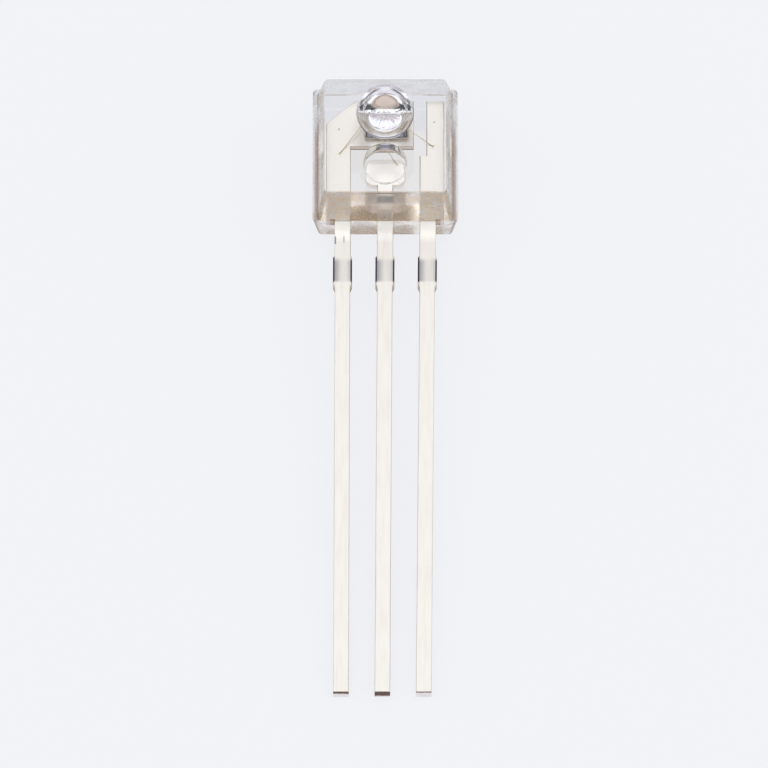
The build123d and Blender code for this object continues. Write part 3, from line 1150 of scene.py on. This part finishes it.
points, faces, flat = slab(die_low, die_high, plan_radius=0.01, edge_radius=0.005)
die = make_piece("patterned_die", points, faces, flat, [patterned_silicon])
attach(die, "root")
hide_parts("photo_ic_die")

# %% [markdown]
# ### Glue under the die
# Silver-filled epoxy holds the die to its pad: a paste that was dabbed on and squeezed out a
# little, so its outline wanders. A fluid simulation could squeeze it, but two sine waves round a
# thin slab are enough for a bead this narrow. Its fine flakes give the eye a matt grey-brown.

# %% Silver-filled glue
flakes_per_mm = 28.0  # clumps of flakes; single ones are too fine to show


def silver_filled_glue():
    """A matt grey-brown paste, part metal and part resin, with pale clumps of flakes."""
    material, tree, shader, place = new_material("silver_filled_glue", Roughness=0.45, Metallic=0.3)
    flakes = add(tree, "ShaderNodeTexNoise", {
        "Vector": place, "Scale": flakes_per_mm, "Detail": 2.0
    })
    colour = add(tree, "ShaderNodeValToRGB", {
        "Fac": flakes.outputs[0]
    }, stops=[(0.38, "#C2B3A3"), (0.62, "#EDE3D8")])
    tree.links.new(colour.outputs[0], shader.inputs["Base Color"])
    return material


glue_low, glue_high = box_mm("die_attach")
points, faces, flat = slab(glue_low, glue_high, plan_radius=0.06, edge_radius=0.02, wobble=0.012)
glue = make_piece("die_glue", points, faces, flat, [finished(silver_filled_glue())])
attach(glue, "root")
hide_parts("die_attach")

# %% [markdown]
# ## Bond wires
# Each wire is 24 micrometres of drawn gold. It starts in a squashed ball on the die, climbs, turns
# over and runs down to a flattened stitch on its lead. A Blender curve with a round bevel could be
# the wire, but its ball and stitch would be separate objects. Here all three are grids in one mesh,
# as they are one piece of gold.

# %% Tubes and squashed balls
def tube(path, radius, first=0, around=10):
    """Rings of points square to a path that lies in one upright plane, closed by its end points."""
    along = np.gradient(path, axis=0)
    along /= np.linalg.norm(along, axis=1)[:, None]
    level = np.cross(path[-1] - path[0], (0, 0, 1.0))
    level /= np.linalg.norm(level)
    across = np.cross(along, level)
    angle = np.linspace(0, 2 * math.pi, around, endpoint=False)[:, None]
    rings = path[:, None] + radius * (np.cos(angle) * level + np.sin(angle) * across[:, None])
    last = first + len(path) * around
    faces = grid_faces(len(path), around, first) + fan(last - around, around, last + 1)
    faces += [face[::-1] for face in fan(first, around, last)]
    return np.vstack([rings.reshape(-1, 3), path[0], path[-1]]), faces


def squashed_ball(centre, radius, height, first=0, around=24):
    """A ball pressed flat: (radius cos t, height (1 + sin t) / 2) turned about its axis."""
    t = np.linspace(-math.pi / 2, math.pi / 2, 11)[1:-1]
    profile = np.stack([radius * np.cos(t), centre[2] + height * (1 + np.sin(t)) / 2], 1)
    rings = revolved(profile, centre[0], centre[1], around)
    poles = [[*centre[:2], centre[2]], [*centre[:2], centre[2] + height]]
    last = first + len(t) * around
    faces = grid_faces(len(t), around, first) + fan(last - around, around, last + 1)
    faces += [face[::-1] for face in fan(first, around, last)]
    return np.vstack([rings.reshape(-1, 3), poles]), faces


print("a squashed ball has", len(squashed_ball((0, 0, 0), 1, 1)[0]), "points")

# %% Drawn gold
def gold():
    """Soft drawn gold: pale yellow, and dull enough that so thin a wire doesn't sparkle."""
    return new_material(
        "drawn_gold", Base_Color=linear("#FBEBC4"), Metallic=0.6, Roughness=0.5
    )[0]


drawn_gold = finished(gold())

# %% Three bond wires
wire_radius = 0.012
loop_height, loop_turn = 0.165, 0.05  # the wire's crown above the die, and its radius there
ball_radius, ball_height = 0.045, 0.025
stitch_radius, stitch_height = 0.04, 0.02


def bond_wire(name, ball, stitch):
    """One wire: squashed ball, tube along its path, flattened stitch."""
    die_top = die_high[2]
    run = np.subtract(stitch, ball)
    length = np.hypot(*run)
    foot, crown = (0, die_top + wire_radius), (0, die_top + loop_height)
    end = (length, parting_z + wire_radius)
    turn_over = rounded_bend(foot, crown, end, loop_turn, 10)
    profile = np.vstack([[foot], turn_over, [end]])
    path = np.column_stack([ball + profile[:, :1] * run / length, profile[:, 1]])
    points, faces = tube(path, wire_radius)
    for centre, radius, height in (
        ((*ball, die_top), ball_radius, ball_height),
        ((*stitch, parting_z), stitch_radius, stitch_height),
    ):
        more_points, more_faces = squashed_ball(centre, radius, height, len(points))
        points, faces = np.vstack([points, more_points]), faces + more_faces
    wire = make_piece(name, points, faces, materials=[drawn_gold])
    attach(wire, "root")
    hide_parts(name.replace("gold_wire", "bond_wire"))
    return wire


bond_wire("gold_wire_left", left_ball, (-pitch - 0.08, die_pad_bottom - 0.235))
bond_wire("gold_wire_centre", centre_ball, (0.35, centre_pad_top - 0.155))
bond_wire("gold_wire_right", right_ball, (pitch + 0.155, die_pad_bottom - 0.005))

# %% [markdown]
# ## Floor, light and camera
# The part lies on its back, on the rear bottom edge of its package and on its lead tips. It could
# be turned to lie on a level floor, but pieces have to keep the frame's own places. So the floor
# is the plane that goes through that edge and those tips.

# %% Floor
rear_edge_y = -(half_height - 0.26)
floor_slope = lead_rear_z / (rear_edge_y - tip_y)
reach = 800.0
floor_corners = [(-reach, -reach), (reach, -reach), (reach, reach), (-reach, reach)]
floor_points = [(x, y, (rear_edge_y - y) * floor_slope) for x, y in floor_corners]
floor_mesh = bpy.data.meshes.new("floor")
floor_mesh.from_pydata((np.array(floor_points) * MM).tolist(), [], [(0, 1, 2, 3)])
floor = bpy.data.objects.new("floor", floor_mesh)
bpy.context.scene.collection.objects.link(floor)
print(f"floor slopes by {math.degrees(math.atan(floor_slope)):.1f} degrees")

# %% Paper
paper_white = linear("#F2F3F7")
unlit_to_eye = 0.9  # share of the paper's own colour that is seen straight
unlit_in_metal = 0.6


def pale_paper():
    """Matt pale paper that catches the part's shadow.

    Part of its colour is unlit, so that it stays even: most of it where it is seen straight, all
    of it through clear plastic, and some of it in metal.
    """
    material, tree, shader, place = new_material(
        "pale_paper", Base_Color=paper_white, Roughness=0.6, Specular_IOR_Level=0.1
    )
    path = add(tree, "ShaderNodeLightPath").outputs
    share = add(tree, "ShaderNodeMath", {
        0: path["Is Camera Ray"], 1: unlit_to_eye
    }, operation="MULTIPLY").outputs[0]
    for kind, most in (("Is Transmission Ray", 1.0), ("Is Glossy Ray", unlit_in_metal)):
        share = add(tree, "ShaderNodeMath", {
            0: path[kind], 1: most, 2: share
        }, operation="MULTIPLY_ADD", use_clamp=True).outputs[0]
    glow = add(tree, "ShaderNodeEmission", {"Color": paper_white})
    mixed = add(tree, "ShaderNodeMixShader", {0: share, 1: shader.outputs[0], 2: glow.outputs[0]})
    tree.links.new(mixed.outputs[0], tree.nodes["Material Output"].inputs["Surface"])
    return material


floor.data.materials.append(finished(pale_paper()))

# %% [markdown]
# ### Light tent
# Metal and clear plastic look like what stands round them, so small parts are lit in a tent of
# white cloth. It could be built from planes that glow, but a world that depends on direction costs
# nothing and casts no stray shadow. This one is even all round and a little dimmer low down, with a
# brighter overhead panel that slopes away behind the part, and a dark gap below that panel, between
# it and a back panel, which the lens and the metal pick up.

# %% Tent
horizon_light, upper_light = 0.88, 0.95
world = bpy.data.worlds.new("light_tent")
bpy.context.scene.world = world
world.use_nodes = True
sky = world.node_tree
sky.nodes.clear()
direction = add(sky, "ShaderNodeTexCoord").outputs["Generated"]
part = add(sky, "ShaderNodeSeparateXYZ", {0: direction}).outputs
even = add(sky, "ShaderNodeMapRange", {
    "Value": part["Z"],
    "From Min": 0.0,
    "From Max": 0.6,
    "To Min": horizon_light,
    "To Max": upper_light,
}, interpolation_type="SMOOTHSTEP").outputs[0]
slope = add(sky, "ShaderNodeMath", {0: part["Z"], 1: part["Y"]}, operation="ARCTAN2").outputs[0]
away = add(sky, "ShaderNodeMath", {0: part["X"], 1: part["Y"]}, operation="DIVIDE").outputs[0]
aside = add(sky, "ShaderNodeMath", {0: away}, operation="ABSOLUTE").outputs[0]
print("the tent goes from", horizon_light, "at the horizon to", upper_light, "higher up")

# %% Panels and the gap between them
gap_low, gap_high, overhead_end, soft = (math.radians(a) for a in (37.0, 58.0, 105.0, 1.5))
overhead_gain = 0.45
gap_light = 0.01
borders = [
    add(sky, "ShaderNodeMapRange", {
        "Value": value, "From Min": low, "From Max": high
    }, interpolation_type="SMOOTHSTEP").outputs[0]
    for value, low, high in (
        (slope, gap_high - soft, gap_high + soft),  # two borders of the overhead panel
        (slope, overhead_end, overhead_end - 0.3),
        (slope, gap_low - soft, gap_low + soft),  # four of the gap, which is open in its middle
        (slope, gap_high + soft, gap_high - soft),
        (aside, 0.26, 0.34),
        (aside, 2.2, 1.8),
    )
]
over, gap = overlap(sky, borders[:2]), overlap(sky, borders[2:])
raised = add(sky, "ShaderNodeMath", {
    0: over, 1: overhead_gain, 2: even
}, operation="MULTIPLY_ADD").outputs[0]
dimmed = add(sky, "ShaderNodeMapRange", {"Value": gap, "To Min": 1.0, "To Max": gap_light})
tent = add(sky, "ShaderNodeBackground", {
    "Color": linear("#FFFFFF"), "Strength": overlap(sky, (raised, dimmed.outputs[0]))
})
add(sky, "ShaderNodeOutputWorld", {"Surface": tent.outputs[0]})
print(f"dark gap from {math.degrees(gap_low):.0f} to {math.degrees(gap_high):.0f} degrees up")

# %% [markdown]
# ### Camera
# Small parts are looked at from far off through a long lens, which keeps the leads parallel. An
# orthographic camera would do that too, but a real one still shows a little depth. So the camera
# stands 300 mm away, and its angle is worked out from the width that it has to take in.

# %% Camera
view_elevation = math.radians(65)
camera_distance = 300.0
view_width = 22.75
aim = Vector((-0.036, -7.56, parting_z)) * MM
toward_camera = Vector((0, -math.cos(view_elevation), math.sin(view_elevation)))
camera_data = bpy.data.cameras.new("camera")
camera_data.sensor_width = 36
camera_data.angle = 2 * math.atan(view_width / 2 / camera_distance)
camera_data.clip_start = 0.01
camera = bpy.data.objects.new("camera", camera_data)
camera.location = aim + toward_camera * camera_distance * MM
camera.rotation_euler = toward_camera.to_track_quat("Z", "Y").to_euler()
bpy.context.scene.collection.objects.link(camera)
bpy.context.scene.camera = camera
print(f"lens of {camera_data.lens:.0f} mm")

# %% Plain colour handling, and enough bounces for light inside clear plastic
bpy.context.scene.view_settings.view_transform = "Standard"
light_paths = bpy.context.scene.cycles
light_paths.max_bounces = 24
light_paths.transmission_bounces = 24
light_paths.glossy_bounces = 12
print("light may bounce", light_paths.max_bounces, "times")
